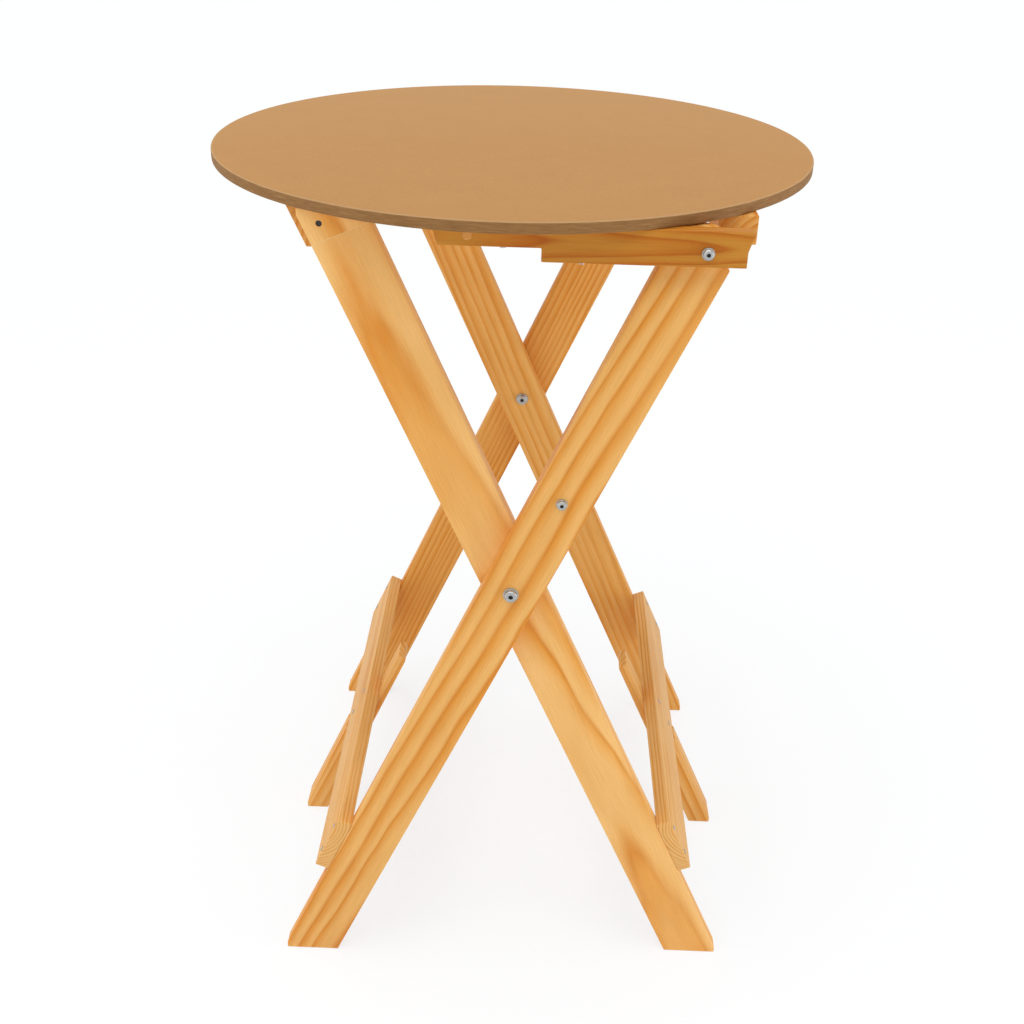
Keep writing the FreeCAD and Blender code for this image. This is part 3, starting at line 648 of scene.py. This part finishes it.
# Nails, screws and threaded inserts: small steel fasteners in the same plate, driven into the wood
# and kept as they were drawn. The screws sunk in the inner legs take the near-black steel, as painted shade
# for their sunk holes.
for name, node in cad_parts.items():
    if any(word in name for word in ("nail", "screw", "insert")):
        node.data.materials.clear()
        node.data.materials.append(socket_shade if "rung_screw" in name else zinc)

# Floor: a plain white sweep of matt paper that keeps the soft shadow of the table.
# It lies a hair below the feet, and most of what the camera sees of it is its own even white.
FLOOR_DROP = 0.0004
FLOOR_HALF = 40.0


def looked_at(g):
    """One for what the camera sees, straight on or in a reflection or through glass, and none elsewhere."""
    rays = g.add("ShaderNodeLightPath").outputs
    seen = g.math("MAXIMUM", rays["Is Camera Ray"], rays["Is Glossy Ray"])
    return g.math("MAXIMUM", seen, rays["Is Transmission Ray"])


bm = bmesh.new()
below = Matrix.Translation((0, 0, -FLOOR_DROP))
bmesh.ops.create_grid(bm, x_segments=1, y_segments=1, size=FLOOR_HALF, matrix=below)
mesh = bpy.data.meshes.new("floor")
bm.to_mesh(mesh)
bm.free()
floor = bpy.data.objects.new("floor", mesh)
scene.collection.objects.link(floor)
g = Graph(bpy.data.materials.new("white_floor"))
white = g.add("ShaderNodeBsdfDiffuse", {"Color": (0.97, 0.97, 0.97, 1.0)})
glow = g.add("ShaderNodeEmission", {"Color": (0.985, 1.0, 1.012, 1.0), "Strength": 1.0})
share = g.math("MULTIPLY", looked_at(g), 0.74)
sweep = g.add("ShaderNodeMixShader", {0: share, 1: white.outputs[0], 2: glow.outputs[0]})
g.add("ShaderNodeOutputMaterial", {"Surface": sweep.outputs[0]})
mesh.materials.append(g.owner)

# Light: an even white room, seen brighter than it shines, under a wide soft sky lamp,
# with a large soft lamp low at each side.
scene.world = bpy.data.worlds.new("room")
g = Graph(scene.world)
room = g.add("ShaderNodeBackground", {"Color": (1.0, 1.0, 1.0, 1.0), "Strength": 0.36})
shown = g.add("ShaderNodeBackground", {"Color": (1.0, 1.0, 1.0, 1.0), "Strength": 1.0})
choice = g.add("ShaderNodeMixShader", {0: looked_at(g), 1: room.outputs[0], 2: shown.outputs[0]})
g.add("ShaderNodeOutputWorld", {"Surface": choice.outputs[0]})


def aimed(name, lamp, place, target):
    """Hangs a lamp at a place and points it at a target."""
    holder = bpy.data.objects.new(name, lamp)
    holder.location = place
    aim = Vector(target) - Vector(place)
    holder.rotation_euler = aim.to_track_quat("-Z", "Y").to_euler()
    scene.collection.objects.link(holder)


sky = bpy.data.lights.new("sky_lamp", "SUN")
sky.energy = 2.2
sky.angle = math.radians(70)
aimed("sky_lamp", sky, (-0.4, -0.5, 3.4), (0, 0, 0.6))
for name, place, power in (
    ("right_lamp", (2.6, -1.0, 0.6), 20.0),
    ("left_lamp", (-2.6, -1.0, 0.6), 11.0),
):
    lamp = bpy.data.lights.new(name, "AREA")
    lamp.size = 1.8
    lamp.energy = power
    aimed(name, lamp, place, (0, 0, 0.35))

# Camera: above the front edge and looking down, as the picture was taken,
# with the focal length in pixels of a picture 1024 wide.
CAMERA_PLACE = (0.0369, -1.5200, 1.3607)
YAW = -0.0173
PITCH = 0.5014
ROLL = 0.0268
FOCAL_PIXELS = 1259.86
PICTURE_PIXELS = 1024.0
ahead = Vector((math.sin(YAW) * math.cos(PITCH), math.cos(YAW) * math.cos(PITCH), -math.sin(PITCH)))
right = Vector((math.cos(YAW), -math.sin(YAW), 0.0))
above = right.cross(ahead)
tilted_right = math.cos(ROLL) * right + math.sin(ROLL) * above
tilted_up = -math.sin(ROLL) * right + math.cos(ROLL) * above
lens = bpy.data.cameras.new("camera")
lens.sensor_fit = "HORIZONTAL"
lens.sensor_width = 36.0
lens.lens = FOCAL_PIXELS * lens.sensor_width / PICTURE_PIXELS
lens.clip_end = 200.0
camera = bpy.data.objects.new("camera", lens)
axes = Matrix((tilted_right, tilted_up, -ahead)).transposed().to_4x4()
camera.matrix_world = Matrix.Translation(CAMERA_PLACE) @ axes
scene.collection.objects.link(camera)
scene.camera = camera
